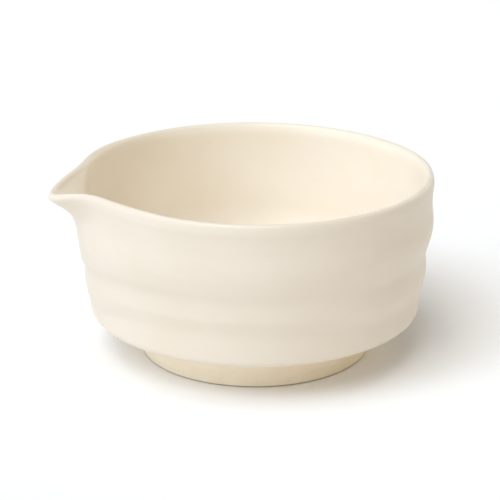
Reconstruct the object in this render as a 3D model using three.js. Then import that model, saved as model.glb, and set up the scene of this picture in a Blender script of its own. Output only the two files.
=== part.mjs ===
// A wheel-thrown mixing bowl with a pulled pouring spout, in glazed stoneware.
//
// Millimetres, +Z up. The spout points along -X and the XZ plane is the plane of symmetry.
// The origin is on the table, under the middle of the bowl's whole length.
//
// Pieces:
//   clay_body   the thrown floor and wall, with the spout pulled out of the wall
//   glaze_coat  the fired glaze over the inside, the rim and the outside down to the foot
//   foot_ring   the bare ring luted on under the floor, which stands on the table

import * as THREE from 'three';

// Bowl, measured over the glaze
const HEIGHT = 80;
const RIM_RADIUS = 76.1;
const FLOOR_TOP = 19.6;

// The rounded lip, as two Bezier curves that meet at its crest
const LIP_CREST = [74.2, HEIGHT];
const LIP_INSIDE = { start: [72.5, 75], wallPull: [72.6, 78.2], crestPull: [73.2, HEIGHT] };
const LIP_OUTSIDE = {
  crestPull: [75.4, HEIGHT],
  wallPull: [RIM_RADIUS, 78.4],
  end: [RIM_RADIUS, 75.4],
};

// Throwing rings on the outside, from the rim down: crests and hollows as [radius, height]
const WALL_RINGS = [[75.8, 72.2], [75.9, 67], [76.4, 61], [76.4, 55.5], [75.6, 50.5], [74.2, 46],
  [73.85, 41], [73.8, 36.5], [73.2, 32.5], [72.2, 28.5], [71.95, 24.5]];

// The turn of the wall in under the bowl, as the first points of a Bezier curve that ends at the
// foot: where it leaves the wall, and the two points that pull it
const TURN = { start: [71.7, 21.1], wallPull: [71.7, 15.8], underPull: [60.4, 15.4] };

// Inside of the wall above the corner with the floor, going up, as [radius, height]
const INNER_WALL = [[71, 58], [72, 67]];
const INNER_CORNER = { floorRadius: 38, wallRadius: 69, wallHeight: 44 };

// Spout: how far and how wide the wet rim was pulled out, and how deep the pull reaches
const SPOUT = {
  reach: 13.5, // past the rim, at the spout's middle
  halfWidth: 0.188, // radians
  widthPower: 1.8,
  droop: 4,
  droopHalfWidth: 0.144,
  shoulderRise: 0.65, // the rim rises a little beside the spout
  shoulderAngle: 0.6,
  shoulderHalfWidth: 0.28,
  top: 78, // the lip above this height moves out as a whole
  depth: 9.9, // below the top, where the pull has faded to 1/e
  depthPower: 1.47,
  narrowing: 0.028, // share of the width lost per millimetre of depth
  leastWidth: 0.4,
};

// Pulling the spout draws the round rim a little oval, so it also stands out opposite the spout.
const HEEL = { reach: 1, halfWidth: 0.45, depth: 14 };

const GLAZE = 0.45;
const GAP = 0.3; // clearance between neighbouring pieces

// Foot ring
const FOOT_HEIGHT = 13.3;
const FOOT_BASE_RADIUS = 49.8;
const FOOT_TOP_RADIUS = 51.2;
const FOOT_HOLE_RADIUS = 42.5;
const FOOT_EDGE = 0.8; // rounded edge on the table side
const UNDERSIDE = FOOT_HEIGHT + GAP;
const GLAZE_END_RADIUS = FOOT_TOP_RADIUS + GAP;

// Mesh fineness
const STATIONS = 48; // round the bowl
const CROWDING = 0.5; // how far the stations close up towards the spout
const STEPS = { line: 1, corner: 6, innerWall: 4, lip: 4, wall: 15, turn: 5 };

// The bowl's axis lies behind the origin, because the spout reaches further than the heel.
const AXIS_X = (SPOUT.reach - HEEL.reach) / 2;

const point = ([radius, height]) => new THREE.Vector2(radius, height);

// The glazed surface as one line: from the middle of the floor up the inside, over the lip and
// down the outside to the foot. The clay is always on its right.
function surfaceLine() {
  const cornerStart = point([INNER_CORNER.floorRadius, FLOOR_TOP]);
  const cornerEnd = point([INNER_CORNER.wallRadius, INNER_CORNER.wallHeight]);
  const foot = point([GLAZE_END_RADIUS, UNDERSIDE]);
  const curves = [
    [new THREE.LineCurve(point([0, FLOOR_TOP]), cornerStart), STEPS.line],
    [new THREE.CubicBezierCurve(cornerStart, point([58, FLOOR_TOP]), point([67.5, 27]), cornerEnd),
      STEPS.corner],
    [new THREE.SplineCurve([cornerEnd, ...[...INNER_WALL, LIP_INSIDE.start].map(point)]),
      STEPS.innerWall],
    [new THREE.CubicBezierCurve(...[...Object.values(LIP_INSIDE), LIP_CREST].map(point)), STEPS.lip],
    [new THREE.CubicBezierCurve(...[LIP_CREST, ...Object.values(LIP_OUTSIDE)].map(point)), STEPS.lip],
    [new THREE.SplineCurve([LIP_OUTSIDE.end, ...WALL_RINGS, TURN.start].map(point)), STEPS.wall],
    [new THREE.CubicBezierCurve(...[TURN.start, TURN.wallPull, TURN.underPull].map(point), foot),
      STEPS.turn],
  ];
  const line = [point([0, FLOOR_TOP])];
  for (const [curve, steps] of curves) line.push(...curve.getPoints(steps).slice(1));
  return line;
}

// The same line moved into the clay by a distance, square to the surface.
function inset(line, distance) {
  return line.map((here, index) => {
    if (index === 0) return new THREE.Vector2(0, here.y - distance);
    if (index === line.length - 1) return new THREE.Vector2(here.x, here.y + distance);
    const along = line[index + 1].clone().sub(line[index - 1]).normalize();
    return new THREE.Vector2(here.x + along.y * distance, here.y - along.x * distance);
  });
}

// How pulling the spout moves the wall, at an angle from the spout's middle: outwards and up.
function spoutPull(angle, height) {
  const depth = Math.max(0, SPOUT.top - height);
  const fade = Math.exp(-((depth / SPOUT.depth) ** SPOUT.depthPower));
  const width = SPOUT.halfWidth * Math.max(SPOUT.leastWidth, 1 - SPOUT.narrowing * depth);
  const away = Math.abs(angle);
  const tongue = Math.exp(-((away / width) ** SPOUT.widthPower));
  const dip = Math.exp(-((away / SPOUT.droopHalfWidth) ** 2));
  const shoulder = Math.exp(-(((away - SPOUT.shoulderAngle) / SPOUT.shoulderHalfWidth) ** 2));
  const behind = (Math.PI - away) / HEEL.halfWidth;
  const heel = Math.exp(-(behind ** 2) - (depth / HEEL.depth) ** 2);
  return {
    outwards: fade * SPOUT.reach * tongue + HEEL.reach * heel,
    upwards: fade * (SPOUT.shoulderRise * shoulder - SPOUT.droop * dip),
  };
}

// Turns a closed profile round the axis, with its stations closed up towards the spout on -X.
// A spouted piece is then pulled out of round.
function thrown(profile, spouted) {
  const geometry = new THREE.LatheGeometry(profile, STATIONS);
  const position = geometry.attributes.position;
  for (let station = 0; station <= STATIONS; station += 1) {
    const turn = (2 * Math.PI * (station % STATIONS)) / STATIONS;
    const angle = turn - CROWDING * Math.sin(turn);
    const fromSpout = turn > Math.PI ? angle - 2 * Math.PI : angle;
    profile.forEach(({ x: radius, y: height }, index) => {
      const pull = spouted ? spoutPull(fromSpout, height) : { outwards: 0, upwards: 0 };
      const reach = radius > 0 ? radius + pull.outwards : 0;
      position.setXYZ(station * profile.length + index,
        -reach * Math.cos(angle), -reach * Math.sin(angle), height + pull.upwards);
    });
  }
  geometry.computeVertexNormals();
  return geometry;
}

// Swaps the inside and the outside of every face.
function turnedOver(geometry) {
  const corners = geometry.index.array;
  for (let first = 0; first < corners.length; first += 3) {
    [corners[first], corners[first + 1]] = [corners[first + 1], corners[first]];
  }
  return geometry;
}

// The clay's profile runs the same way as the glaze's inner line, so that their facets match
// where they lie face to face in the spout. That way round its faces point in.
function clayBody() {
  const skin = inset(surfaceLine(), GLAZE + GAP);
  const glazeEdge = point([FOOT_TOP_RADIUS, skin[skin.length - 1].y]);
  const profile = [...skin, glazeEdge, point([FOOT_TOP_RADIUS, UNDERSIDE]), point([0, UNDERSIDE])];
  return turnedOver(thrown(profile, true));
}

function glazeProfile() {
  const surface = surfaceLine();
  return [...inset(surface, GLAZE), ...surface.reverse()];
}

function footProfile() {
  const corner = (centreRadius, start, end) => new THREE.EllipseCurve(centreRadius, FOOT_EDGE,
    FOOT_EDGE, FOOT_EDGE, start, end, false).getPoints(3);
  const profile = [
    ...corner(FOOT_HOLE_RADIUS + FOOT_EDGE, Math.PI, 1.5 * Math.PI),
    ...corner(FOOT_BASE_RADIUS - FOOT_EDGE, 1.5 * Math.PI, 2 * Math.PI),
    point([FOOT_TOP_RADIUS, FOOT_HEIGHT]),
    point([FOOT_HOLE_RADIUS, FOOT_HEIGHT]),
  ];
  return [...profile, profile[0]];
}

function piece(name, geometry, color, roughness) {
  const material = new THREE.MeshStandardMaterial({ color, roughness, metalness: 0 });
  const mesh = new THREE.Mesh(geometry, material);
  mesh.name = name;
  return mesh;
}

const bowl = new THREE.Group();
bowl.position.x = AXIS_X;
bowl.add(piece('clay_body', clayBody(), 0xe3d3b4, 0.85));
bowl.add(piece('glaze_coat', thrown(glazeProfile(), true), 0xf3ead9, 0.35));
bowl.add(piece('foot_ring', thrown(footProfile(), false), 0xe0cfae, 0.8));

const part = new THREE.Group();
part.add(bowl);

export default part;
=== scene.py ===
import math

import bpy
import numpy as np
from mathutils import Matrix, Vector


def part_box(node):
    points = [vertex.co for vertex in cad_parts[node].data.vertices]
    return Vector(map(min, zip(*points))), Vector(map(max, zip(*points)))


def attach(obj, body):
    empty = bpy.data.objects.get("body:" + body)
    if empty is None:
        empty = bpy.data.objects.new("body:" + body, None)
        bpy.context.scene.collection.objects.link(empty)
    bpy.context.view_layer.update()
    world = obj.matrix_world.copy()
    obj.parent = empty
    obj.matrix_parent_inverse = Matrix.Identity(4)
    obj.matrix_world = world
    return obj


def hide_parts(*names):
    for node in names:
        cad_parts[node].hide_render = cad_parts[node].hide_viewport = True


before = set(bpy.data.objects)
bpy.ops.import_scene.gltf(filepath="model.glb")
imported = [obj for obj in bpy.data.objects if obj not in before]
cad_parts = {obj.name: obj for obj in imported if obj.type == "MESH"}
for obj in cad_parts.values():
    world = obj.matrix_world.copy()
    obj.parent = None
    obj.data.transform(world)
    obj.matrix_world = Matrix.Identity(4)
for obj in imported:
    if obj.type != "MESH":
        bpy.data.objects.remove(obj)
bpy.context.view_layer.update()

# A thrown stoneware mixing bowl with a pulled pouring spout: a satin cream glaze over buff clay,
# on a bare foot ring. Shapes are worked out in millimetres round the bowl's own axis, and are
# placed in the frame in metres. Angles round the bowl are in radians. They start at the spout,
# which is on -X, and grow towards the camera.

MM = 0.001

# ---------------------------------------------------------------- sizes, from the frame

glaze_low, glaze_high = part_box("glaze_coat")
clay_low, clay_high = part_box("clay_body")
foot_low, foot_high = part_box("foot_ring")

SHOULDER_RISE = 0.65  # the rim rises a little beside the spout

AXIS_X = (foot_low.x + foot_high.x) / 2
FOOT_HEIGHT = foot_high.z / MM
FOOT_TOP_RADIUS = (foot_high.x - foot_low.x) / 2 / MM
UNDERSIDE = clay_low.z / MM
GAP = UNDERSIDE - FOOT_HEIGHT
GLAZE = (clay_low.x - glaze_low.x) / MM - GAP
HEIGHT = glaze_high.z / MM - SHOULDER_RISE

# The lip, from the inside over its crest and down, as the points of two Bezier curves
RIM_RADIUS = 76.1
LIP_CREST = (74.2, HEIGHT)
LIP_INSIDE = [(71.8, 74.6), (71.9, 77.6), (72.7, HEIGHT), LIP_CREST]
LIP_OUTSIDE = [LIP_CREST, (75.4, HEIGHT), (RIM_RADIUS, 78.4), (RIM_RADIUS, 75.4)]

# Throwing rings on the outside, from the rim down: crests and hollows as (radius, height)
WALL_RINGS = [(75.8, 72.2), (75.9, 67), (76.4, 61), (76.4, 55.5), (75.6, 50.5), (74.2, 46),
              (73.85, 41), (73.8, 36.5), (73.2, 32.5), (72.2, 28.5), (71.95, 24.5)]

# The turn of the wall in under the bowl, down to the foot
TURN_START, TURN_WALL_PULL, TURN_UNDER_PULL = (71.7, 21.1), (71.7, 15.8), (60.4, 15.4)
GLAZE_END_RADIUS = FOOT_TOP_RADIUS + GAP

# The inside, from the floor round the corner and up
FLOOR_TOP = 19.6
CORNER_FLOOR_RADIUS = 38.0
CORNER_PULLS = (58, FLOOR_TOP), (67.5, 27)
CORNER_WALL = (69.0, 44.0)
INNER_WALL = [(70.9, 58), (71.6, 67)]

# A cone between the inner and the outer face of the wall: its radius at the table, how much it
# widens per millimetre of height, and the height where it stops widening
MIDWALL_RADIUS, MIDWALL_FLARE, MIDWALL_TOP = 64.2, 0.165, 58

# How the wet rim was pulled out for the spout
SPOUT_TOP = 78.0  # the lip above this height moves out as a whole
SPOUT_REACH = (AXIS_X - glaze_low.x) / MM - RIM_RADIUS
SPOUT_DEPTH, SPOUT_DEPTH_POWER = 9.9, 1.47  # below the top, where the pull has faded to 1/e
SPOUT_HALF_WIDTH, SPOUT_WIDTH_POWER = 0.188, 1.8
SPOUT_NARROWING, SPOUT_LEAST_WIDTH = 0.028, 0.4  # share of the width lost per mm of depth
DROOP, DROOP_HALF_WIDTH = 4, 0.144
SHOULDER_ANGLE, SHOULDER_HALF_WIDTH = 0.6, 0.28
HEEL_REACH, HEEL_HALF_WIDTH, HEEL_DEPTH = 1.0, 0.45, 14  # the rim also stands out opposite

# What the hand leaves on the wall, in millimetres. A place is the middle and the half width of a
# bell, round the bowl or up its height, and a power if the bell is flatter than usual.
LOW_RING, HIGH_RING = (31, 7), (48, 9)
LOW_RING_START, LOW_RING_FADE = 20, 6
FRONT_CLIMB, FRONT = 3.3, (1.13, 0.96, 4)
SPOUT_DIP, UNDER_SPOUT = 4.4, (0, 0.44)
SPOUT_DRAG, NEAR_SPOUT = -5.5, (-0.1, 0.45)
DEEPER, DEEPEST_ANGLE, DEEP_HALF_WIDTH = 0.7, 2.2, 0.75
DEEP_HEIGHTS = (46, 20, 6)
RING_PITCH, RING_CREST = 21.5, 60.5
FILL, FILL_ANGLES, FILL_HEIGHTS = 0.22, (0.3, 0.75), (71.5, 4)
LEAN, LEAN_PHASE = 0.35, 0.25
OVAL, OVAL_PHASE = 0.001, 0.6
LEAN_FADE = 12  # above the underside, over which the lean and the oval set in

FOOT_BASE_RADIUS = 49.8
FOOT_HOLE_RADIUS = 42.5
FOOT_EDGE = 0.8  # worn round edge on the table
FOOT_BOW = -0.35
TOOL_LINE_DEPTH, TOOL_LINES = 0.05, 5
TRIM_DEPTH, TRIM_PITCH, TRIM_FADE = 0.22, 5.2, 4  # rings cut into the bare underside
TRIM_STEPS = 160

# ---------------------------------------------------------------- lines and surfaces


def smooth_line(points, steps):
    """A Catmull-Rom line through points, with that many steps between neighbours."""
    points = np.array(points, float)
    padded = np.vstack([points[:1], points, points[-1:]])
    t = np.linspace(0, 1, steps, endpoint=False)[:, None]
    spans = []
    for a, b, c, d in zip(padded, padded[1:], padded[2:], padded[3:]):
        spans.append(0.5 * (2 * b + (c - a) * t + (2 * a - 5 * b + 4 * c - d) * t ** 2
                            + (3 * b - a - 3 * c + d) * t ** 3))
    return np.vstack(spans + [points[-1:]])


def bezier_line(points, steps):
    a, b, c, d = np.array(points, float)
    t = np.linspace(0, 1, steps + 1)[:, None]
    return a * (1 - t) ** 3 + 3 * b * t * (1 - t) ** 2 + 3 * c * t ** 2 * (1 - t) + d * t ** 3


def arc_line(centre, radius, start, end, steps):
    angle = np.linspace(start, end, steps + 1)
    return np.stack([centre[0] + radius * np.cos(angle), centre[1] + radius * np.sin(angle)], 1)


def joined(*lines):
    """Lines that each start where the one before ends, as one line."""
    return np.vstack([lines[0]] + [line[1:] for line in lines[1:]])


def surface_line():
    """The glazed surface, from the middle of the floor up, over the lip and down to the foot."""
    corner = (CORNER_FLOOR_RADIUS, FLOOR_TOP)
    return joined(
        np.linspace((0, FLOOR_TOP), corner, 10),
        bezier_line([corner, *CORNER_PULLS, CORNER_WALL], 40),
        smooth_line([CORNER_WALL, *INNER_WALL, LIP_INSIDE[0]], 12),
        bezier_line(LIP_INSIDE, 8),
        bezier_line(LIP_OUTSIDE, 10),
        smooth_line([LIP_OUTSIDE[-1], *WALL_RINGS, TURN_START], 7),
        bezier_line([TURN_START, TURN_WALL_PULL, TURN_UNDER_PULL,
                     (GLAZE_END_RADIUS, UNDERSIDE)], 20))


def inset(line, distance):
    """The same line moved into the clay, which is on its right."""
    along = np.gradient(line, axis=0)
    along[0] = (1, 0)
    along /= np.linalg.norm(along, axis=1, keepdims=True)
    return line + distance * np.stack([along[:, 1], -along[:, 0]], 1)


def lip_length():
    """How far along the glaze's closed profile its crest at the lip lies, in centimetres."""
    line = surface_line()
    crest = int(np.argmin(np.linalg.norm(line - LIP_CREST, axis=1)))
    whole = np.vstack([inset(line, GLAZE), line[:crest - 1:-1]])
    return np.linalg.norm(np.diff(whole, axis=0), axis=1).sum() / 10


def near(value, middle, half_width, power=2):
    """A bell that is 1 at its middle and 1/e half a width away from it."""
    return np.exp(-np.abs((value - middle) / half_width) ** power)


def pulled(radius, height, angle):
    """Moves points of a round wall as the pulled spout does."""
    depth = np.maximum(0, SPOUT_TOP - height)
    fade = np.exp(-(depth / SPOUT_DEPTH) ** SPOUT_DEPTH_POWER)
    width = SPOUT_HALF_WIDTH * np.maximum(SPOUT_LEAST_WIDTH, 1 - SPOUT_NARROWING * depth)
    away = np.abs(angle)
    out = fade * SPOUT_REACH * near(away, 0, width, SPOUT_WIDTH_POWER)
    out = out + HEEL_REACH * near(away, math.pi, HEEL_HALF_WIDTH) * near(depth, 0, HEEL_DEPTH)
    up = fade * (SHOULDER_RISE * near(away, SHOULDER_ANGLE, SHOULDER_HALF_WIDTH)
                 - DROOP * near(away, 0, DROOP_HALF_WIDTH))
    return radius + np.where(radius > 0, out, 0), height + up


def hand_made(radius, height, angle, outside):
    """The small ways in which the wall is not a true turned shape."""
    # The rings climb a little round the front, and are dragged down under the spout.
    climb = FRONT_CLIMB * near(angle, *FRONT) - SPOUT_DIP * near(angle, *UNDER_SPOUT)
    drag = SPOUT_DRAG * near(angle, *NEAR_SPOUT)
    low_ring = near(height, *LOW_RING) * np.clip((height - LOW_RING_START) / LOW_RING_FADE, 0, 1)
    height = height + climb * low_ring + drag * near(height, *HIGH_RING)
    # On the side away from the spout, towards the front, they are deeper.
    from_deepest = (angle - DEEPEST_ANGLE + math.pi) % (2 * math.pi) - math.pi
    deep = DEEPER * outside * near(from_deepest, 0, DEEP_HALF_WIDTH) * near(height, *DEEP_HEIGHTS)
    radius = radius + deep * np.cos(2 * math.pi * (height - RING_CREST) / RING_PITCH)
    # The groove under the lip is filled beside the spout.
    radius = radius + FILL * outside * near(angle, *FILL_ANGLES) * near(height, *FILL_HEIGHTS)
    # The wall leans, so the rim is higher at the spout than behind, and is a touch oval.
    above = np.clip((height - UNDERSIDE) / LEAN_FADE, 0, 1)
    height = height + LEAN * above * np.cos(angle + LEAN_PHASE) * radius / RIM_RADIUS
    radius = radius * (1 + OVAL * above * np.cos(2 * angle + OVAL_PHASE))
    return radius, height


# The stations round the bowl close up towards the spout.
STATIONS = 240
CROWDING = 0.5
turn = np.arange(STATIONS) * 2 * math.pi / STATIONS
ANGLES = turn - CROWDING * np.sin(turn)
ANGLES = np.where(turn > math.pi, ANGLES - 2 * math.pi, ANGLES)


def row_faces(rows, closed):
    """Faces between neighbouring rows of points, and back to the first row if closed."""
    faces = []
    for row in range(rows if closed else rows - 1):
        low, up = row * STATIONS, (row + 1) % rows * STATIONS
        for i in range(STATIONS):
            j = (i + 1) % STATIONS
            faces.append((low + i, low + j, up + j, up + i))
    return faces


def end_faces(rows):
    """Faces from the first and the last row to two points on the axis, which come after them."""
    first, last = rows * STATIONS, rows * STATIONS + 1
    top = (rows - 1) * STATIONS
    faces = []
    for i in range(STATIONS):
        j = (i + 1) % STATIONS
        faces.append((first, j, i))
        faces.append((last, top + i, top + j))
    return faces


def thrown_mesh(name, profile, spouted):
    """A closed profile turned round the axis. A profile end on the axis is one point.

    Each point keeps where it lies on the wheel: the angle as a cosine and a sine, and the
    length along the profile in centimetres.
    """
    radius, height = profile[:, :1], profile[:, 1:]
    if spouted:
        outside = radius > MIDWALL_RADIUS + MIDWALL_FLARE * np.minimum(height, MIDWALL_TOP)
        radius, height = hand_made(*pulled(radius, height, ANGLES), ANGLES, outside)
    radius, height = np.broadcast_arrays(radius, height + 0 * ANGLES)
    cos, sin = np.cos(ANGLES), np.sin(ANGLES)
    grid = np.stack([AXIS_X - radius * cos * MM, -radius * sin * MM, height * MM], -1)
    length = np.concatenate([[0], np.cumsum(np.linalg.norm(np.diff(profile, axis=0), axis=1))])
    wheel = np.stack(np.broadcast_arrays(cos, sin, length[:, None] / 10), -1)
    on_axis = profile[0, 0] == 0
    rows = slice(1, -1) if on_axis else slice(None)
    verts = grid[rows].reshape(-1, 3).tolist()
    places = wheel[rows].reshape(-1, 3).tolist()
    count = len(grid[rows])
    faces = row_faces(count, closed=not on_axis)
    if on_axis:
        faces += end_faces(count)
        verts += [grid[0, 0].tolist(), grid[-1, 0].tolist()]
        places += [(0, 0, 0), (0, 0, length[-1] / 10)]
    mesh = bpy.data.meshes.new(name)
    mesh.from_pydata(verts, [], faces)
    mesh.polygons.foreach_set("use_smooth", [True] * len(mesh.polygons))
    wheel_place = mesh.attributes.new("wheel_place", "FLOAT_VECTOR", "POINT")
    wheel_place.data.foreach_set("vector", np.array(places, np.float32).ravel())
    mesh.update()
    piece = bpy.data.objects.new(name, mesh)
    bpy.context.scene.collection.objects.link(piece)
    return piece


def glaze_piece():
    surface = surface_line()
    return thrown_mesh("glaze_skin", np.vstack([inset(surface, GLAZE), surface[::-1]]), True)


def clay_piece():
    """The clay under the glaze. Its bare underside keeps the rings that the trimming tool cut."""
    skin = inset(surface_line(), GLAZE + GAP)
    step = [(FOOT_TOP_RADIUS, skin[-1, 1]), (FOOT_TOP_RADIUS, UNDERSIDE)]
    base_radius = np.linspace(FOOT_TOP_RADIUS - 0.7, 0, TRIM_STEPS)
    cuts = TRIM_DEPTH * (1 - np.cos(base_radius * 2 * math.pi / TRIM_PITCH)) * np.clip(
        (FOOT_HOLE_RADIUS - 1 - base_radius) / TRIM_FADE, 0, 1)
    base = np.stack([base_radius, UNDERSIDE + cuts], 1)
    return thrown_mesh("thrown_clay", np.vstack([skin, step, base])[::-1], True)


def foot_piece():
    """The ring has a worn round edge on the table and faint tool lines up its side."""
    rise = np.linspace(0, 1, 40)
    tool_lines = np.sin(rise * 2 * math.pi * TOOL_LINES) * near(rise, 0.5, 0.4, 4)
    bow = FOOT_BOW * np.sin(math.pi * rise) + TOOL_LINE_DEPTH * tool_lines
    side = np.stack([FOOT_BASE_RADIUS + (FOOT_TOP_RADIUS - FOOT_BASE_RADIUS) * rise + bow,
                     FOOT_EDGE + (FOOT_HEIGHT - FOOT_EDGE) * rise], 1)
    in_edge, out_edge = FOOT_HOLE_RADIUS + FOOT_EDGE, FOOT_BASE_RADIUS - FOOT_EDGE
    profile = joined(
        arc_line((in_edge, FOOT_EDGE), FOOT_EDGE, math.pi, 1.5 * math.pi, 6),
        np.linspace((in_edge, 0), (out_edge, 0), 6),
        arc_line((out_edge, FOOT_EDGE), FOOT_EDGE, 1.5 * math.pi, 2 * math.pi, 6),
        side,
        np.linspace((FOOT_TOP_RADIUS, FOOT_HEIGHT), (FOOT_HOLE_RADIUS, FOOT_HEIGHT), 6),
        np.linspace((FOOT_HOLE_RADIUS, FOOT_HEIGHT), (FOOT_HOLE_RADIUS, FOOT_EDGE), 16))
    return thrown_mesh("foot_ring_clay", profile[:-1], False)


# ---------------------------------------------------------------- materials


class Nodes:
    """A short way to write a material's node tree."""

    def __init__(self, name):
        self.material = bpy.data.materials.new(name)
        self.material.use_nodes = True
        self.tree = self.material.node_tree
        self.shader = self.tree.nodes["Principled BSDF"]

    def add(self, kind, settings=None, **inputs):
        node = self.tree.nodes.new(kind)
        for key, value in (settings or {}).items():
            setattr(node, key, value)
        for key, value in inputs.items():
            self.put(node.inputs[key.replace("_", " ")], value)
        return node

    def put(self, socket, value):
        if isinstance(value, bpy.types.NodeSocket):
            self.tree.links.new(value, socket)
        else:
            socket.default_value = value

    def noise(self, where, scale, detail=3.0, roughness=0.5):
        return self.add("ShaderNodeTexNoise", Vector=where, Scale=scale, Detail=detail,
                        Roughness=roughness).outputs["Fac"]

    def span(self, value, low, high, out_low, out_high):
        return self.add("ShaderNodeMapRange", {"clamp": True}, Value=value, From_Min=low,
                        From_Max=high, To_Min=out_low, To_Max=out_high).outputs["Result"]

    def mix(self, amount, first, second):
        node = self.add("ShaderNodeMix", {"data_type": "RGBA"})
        self.put(node.inputs["Factor"], amount)
        self.put(node.inputs[6], first)
        self.put(node.inputs[7], second)
        return node.outputs[2]

    def maths(self, how, first, second):
        node = self.add("ShaderNodeMath", {"operation": how})
        self.put(node.inputs[0], first)
        self.put(node.inputs[1], second)
        return node.outputs[0]

    def bump(self, height, distance, under=None):
        node = self.add("ShaderNodeBump", Height=height, Distance=distance, Strength=1.0)
        if under:
            self.put(node.inputs["Normal"], under)
        return node.outputs["Normal"]

    def place(self):
        return self.add("ShaderNodeTexCoord").outputs["Object"]

    def wheel_place(self):
        return self.add("ShaderNodeAttribute", {"attribute_name": "wheel_place"}).outputs["Vector"]

    def wheel_lines(self, round_scale, along_scale, detail=2.0):
        """Noise drawn out round the bowl, like the lines that throwing leaves."""
        stretch = self.add("ShaderNodeVectorMath", {"operation": "MULTIPLY"})
        self.put(stretch.inputs[0], self.wheel_place())
        self.put(stretch.inputs[1], (round_scale, round_scale, along_scale))
        return self.noise(stretch.outputs[0], 1.0, detail)

    def third(self, vector):
        return self.add("ShaderNodeSeparateXYZ", Vector=vector).outputs["Z"]

    def finish(self, **inputs):
        for key, value in inputs.items():
            self.put(self.shader.inputs[key.replace("_", " ")], value)
        return self.material


OUTSIDE_PALE, OUTSIDE_WARM = (0.77, 0.681, 0.572, 1), (0.752, 0.658, 0.54, 1)
# Painted light: the inside glaze colours are lighter than the outside ones, for the bounce light
# inside the bowl.
INSIDE_PALE_PAINTED_LIGHT, INSIDE_WARM_PAINTED_LIGHT = (0.898, 0.817, 0.702, 1), (0.88, 0.794, 0.66, 1)
SPECK = (0.62, 0.5, 0.34, 1)
CLAY_PALE, CLAY_DARK = (0.97, 0.853, 0.67, 1), (0.92, 0.79, 0.595, 1)
GRAIN = (0.42, 0.3, 0.17, 1)
# Painted shade: the dark brown of the painted contact shadow at the foot's table edge.
PAINTED_CONTACT_SHADOW = (0.2, 0.13, 0.06, 1)
LIP_LENGTH = lip_length()


def glaze_material():
    """The glaze is painted lighter inside than outside, as painted light for the bounce light
    inside the bowl.
    """
    nodes = Nodes("satin_cream_glaze")
    where = nodes.place()
    cloud = nodes.noise(where, scale=34, detail=4, roughness=0.55)
    pool = nodes.wheel_lines(round_scale=0.7, along_scale=0.9)
    warmth = nodes.maths("MAXIMUM", nodes.span(cloud, 0.35, 0.65, 0, 1),
                         nodes.span(pool, 0.4, 0.65, 0, 0.35))
    # Painted light: past the lip's crest the glaze turns to the lighter inside colours.
    inside = nodes.span(nodes.third(nodes.wheel_place()), LIP_LENGTH - 0.2, LIP_LENGTH + 0.3, 0, 1)
    colour = nodes.mix(warmth, nodes.mix(inside, OUTSIDE_PALE, INSIDE_PALE_PAINTED_LIGHT),
                       nodes.mix(inside, OUTSIDE_WARM, INSIDE_WARM_PAINTED_LIGHT))
    specks = nodes.span(nodes.noise(where, scale=900, detail=1), 0.74, 0.8, 0, 0.12)
    bump = nodes.bump(nodes.wheel_lines(round_scale=1.1, along_scale=7), distance=0.00006)
    bump = nodes.bump(nodes.noise(where, scale=260, detail=2), distance=0.00003, under=bump)
    roughness = nodes.span(nodes.noise(where, scale=90), 0.3, 0.7, 0.36, 0.48)
    return nodes.finish(Base_Color=nodes.mix(specks, colour, SPECK), Roughness=roughness,
                        Normal=bump, IOR=1.5, Specular_IOR_Level=0.5)


def clay_material(name):
    """Bare fired clay, with a thin dark brown band at the table edge as painted contact shadow."""
    nodes = Nodes(name)
    where = nodes.place()
    cloud = nodes.span(nodes.noise(where, scale=60, detail=5, roughness=0.6), 0.35, 0.65, 0, 1)
    colour = nodes.mix(cloud, CLAY_PALE, CLAY_DARK)
    grains = nodes.span(nodes.noise(where, scale=1500, detail=2), 0.62, 0.75, 0, 0.2)
    colour = nodes.mix(grains, colour, GRAIN)
    # Painted contact shadow: the lowest 0.1 to 0.7 mm of the clay darken towards the table.
    worn = nodes.span(nodes.third(where), 0.0001, 0.0007, 0.9, 0)
    bump = nodes.bump(nodes.wheel_lines(round_scale=1.5, along_scale=14, detail=3),
                      distance=0.0001)
    bump = nodes.bump(nodes.noise(where, scale=1100, roughness=0.7), distance=0.00005, under=bump)
    roughness = nodes.span(nodes.noise(where, scale=200, detail=2), 0.3, 0.7, 0.74, 0.95)
    return nodes.finish(Base_Color=nodes.mix(worn, colour, PAINTED_CONTACT_SHADOW), Roughness=roughness,
                        Normal=bump, Specular_IOR_Level=0.25)


glaze = glaze_piece()
clay = clay_piece()
foot = foot_piece()
glaze.data.materials.append(glaze_material())
clay.data.materials.append(clay_material("fired_clay"))
foot.data.materials.append(clay_material("bare_foot_clay"))
for piece, node in ((glaze, "glaze_coat"), (clay, "clay_body"), (foot, "foot_ring")):
    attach(piece, "root")
    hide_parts(node)

# ---------------------------------------------------------------- floor, light and camera

FLOOR_HALF = 4.0  # metres
FLOOR_COLOUR = (0.96, 0.95, 0.935, 1)

CAMERA_DISTANCE, CAMERA_HEIGHT = 0.7402, 0.3072
CAMERA_TURN = math.radians(14.3)  # round from straight across, towards the spout
CAMERA_DIP = math.radians(19.63)
CAMERA_ASIDE = math.radians(0.166)
CAMERA_LENS, CAMERA_SENSOR = 129.96, 36

AMBIENT, BACKDROP = 0.15, 0.8
BACKDROP_AZIMUTH = 300

# Lights as azimuth, elevation, strength and colour
COOL, CLEAR, WARM, BOUNCED = (0.88, 1, 1.13), (0.99, 1, 1.01), (1, 1, 0.88), (1.13, 1, 0.7)
SOFTBOXES = [
    (0, 12, 0.28, COOL), (30, 30, 0.34, COOL), (36, 50, 0.66, COOL), (45, 12, 0.32, COOL),
    (60, 70, 0.16, CLEAR), (72, 50, 0.9, CLEAR), (90, 14, 0.19, CLEAR), (0, 70, 0.5, CLEAR),
    (0, 90, 0.4, CLEAR), (240, 30, 0.2, CLEAR), (225, 12, 0.29, WARM),
    (185, 30, 0.14, BOUNCED), (150, 14, 0.24, BOUNCED)]
SOFTBOX_SPREAD = 18  # degrees across, for a light on the horizon; higher ones spread more


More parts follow.
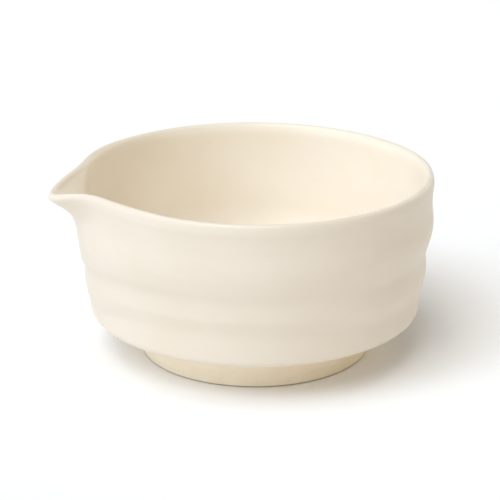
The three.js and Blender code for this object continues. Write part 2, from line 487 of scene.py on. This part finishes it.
def floor_piece():
    mesh = bpy.data.meshes.new("floor")
    mesh.from_pydata([(-FLOOR_HALF, -FLOOR_HALF, 0), (FLOOR_HALF, -FLOOR_HALF, 0),
                      (FLOOR_HALF, FLOOR_HALF, 0), (-FLOOR_HALF, FLOOR_HALF, 0)],
                     [], [(0, 1, 2, 3)])
    piece = bpy.data.objects.new("floor", mesh)
    bpy.context.scene.collection.objects.link(piece)
    piece.data.materials.append(
        Nodes("pale_floor").finish(Base_Color=FLOOR_COLOUR, Roughness=0.9,
                                   Specular_IOR_Level=0.1))


def from_the_left(azimuth, elevation):
    """A direction, with its azimuth from the viewer's left round towards the camera."""
    a, e = math.radians(azimuth) - CAMERA_TURN, math.radians(elevation)
    return Vector((-math.cos(a) * math.cos(e), -math.sin(a) * math.cos(e), math.sin(e)))


def studio_world():
    """An even pale room, with a white backdrop that stands behind and to the left."""
    world = bpy.data.worlds.new("studio")
    world.use_nodes = True
    tree = world.node_tree

    def maths(how, first, second):
        node = tree.nodes.new("ShaderNodeMath")
        node.operation = how
        for socket, value in zip(node.inputs, (first, second)):
            if isinstance(value, bpy.types.NodeSocket):
                tree.links.new(value, socket)
            else:
                socket.default_value = value
        return node.outputs[0]

    def span(value, low, high, out_low, out_high):
        node = tree.nodes.new("ShaderNodeMapRange")
        node.interpolation_type = "SMOOTHSTEP"
        tree.links.new(value, node.inputs["Value"])
        for name, number in (("From Min", low), ("From Max", high), ("To Min", out_low),
                             ("To Max", out_high)):
            node.inputs[name].default_value = number
        return node.outputs[0]

    where = tree.nodes.new("ShaderNodeTexCoord").outputs["Generated"]
    facing = tree.nodes.new("ShaderNodeVectorMath")
    facing.operation = "DOT_PRODUCT"
    tree.links.new(where, facing.inputs[0])
    facing.inputs[1].default_value = from_the_left(BACKDROP_AZIMUTH, 0)
    split = tree.nodes.new("ShaderNodeSeparateXYZ")
    tree.links.new(where, split.inputs[0])
    wall = maths("MULTIPLY", span(facing.outputs["Value"], -0.3, 0.8, 0, BACKDROP),
                 span(split.outputs["Z"], 0.05, 0.5, 1, 0))
    tree.links.new(maths("ADD", wall, AMBIENT), tree.nodes["Background"].inputs["Strength"])
    tree.nodes["Background"].inputs["Color"].default_value = (1, 1, 1, 1)
    bpy.context.scene.world = world


def softbox(azimuth, elevation, strength, colour):
    light = bpy.data.lights.new("softbox", "SUN")
    light.energy = strength
    light.color = colour
    light.angle = math.radians(SOFTBOX_SPREAD + elevation / 6)
    lamp = bpy.data.objects.new("softbox", light)
    lamp.rotation_euler = from_the_left(azimuth, elevation).to_track_quat("Z", "Y").to_euler()
    bpy.context.scene.collection.objects.link(lamp)


def place_camera():
    camera_data = bpy.data.cameras.new("camera")
    camera_data.lens = CAMERA_LENS
    camera_data.sensor_width = CAMERA_SENSOR
    camera = bpy.data.objects.new("camera", camera_data)
    camera.location = (AXIS_X - math.sin(CAMERA_TURN) * CAMERA_DISTANCE,
                       -math.cos(CAMERA_TURN) * CAMERA_DISTANCE, CAMERA_HEIGHT)
    camera.rotation_euler = (math.pi / 2 - CAMERA_DIP, 0, CAMERA_ASIDE - CAMERA_TURN)
    bpy.context.scene.collection.objects.link(camera)
    bpy.context.scene.camera = camera


floor_piece()
studio_world()
for light in SOFTBOXES:
    softbox(*light)
place_camera()
bpy.context.scene.view_settings.view_transform = "Standard"
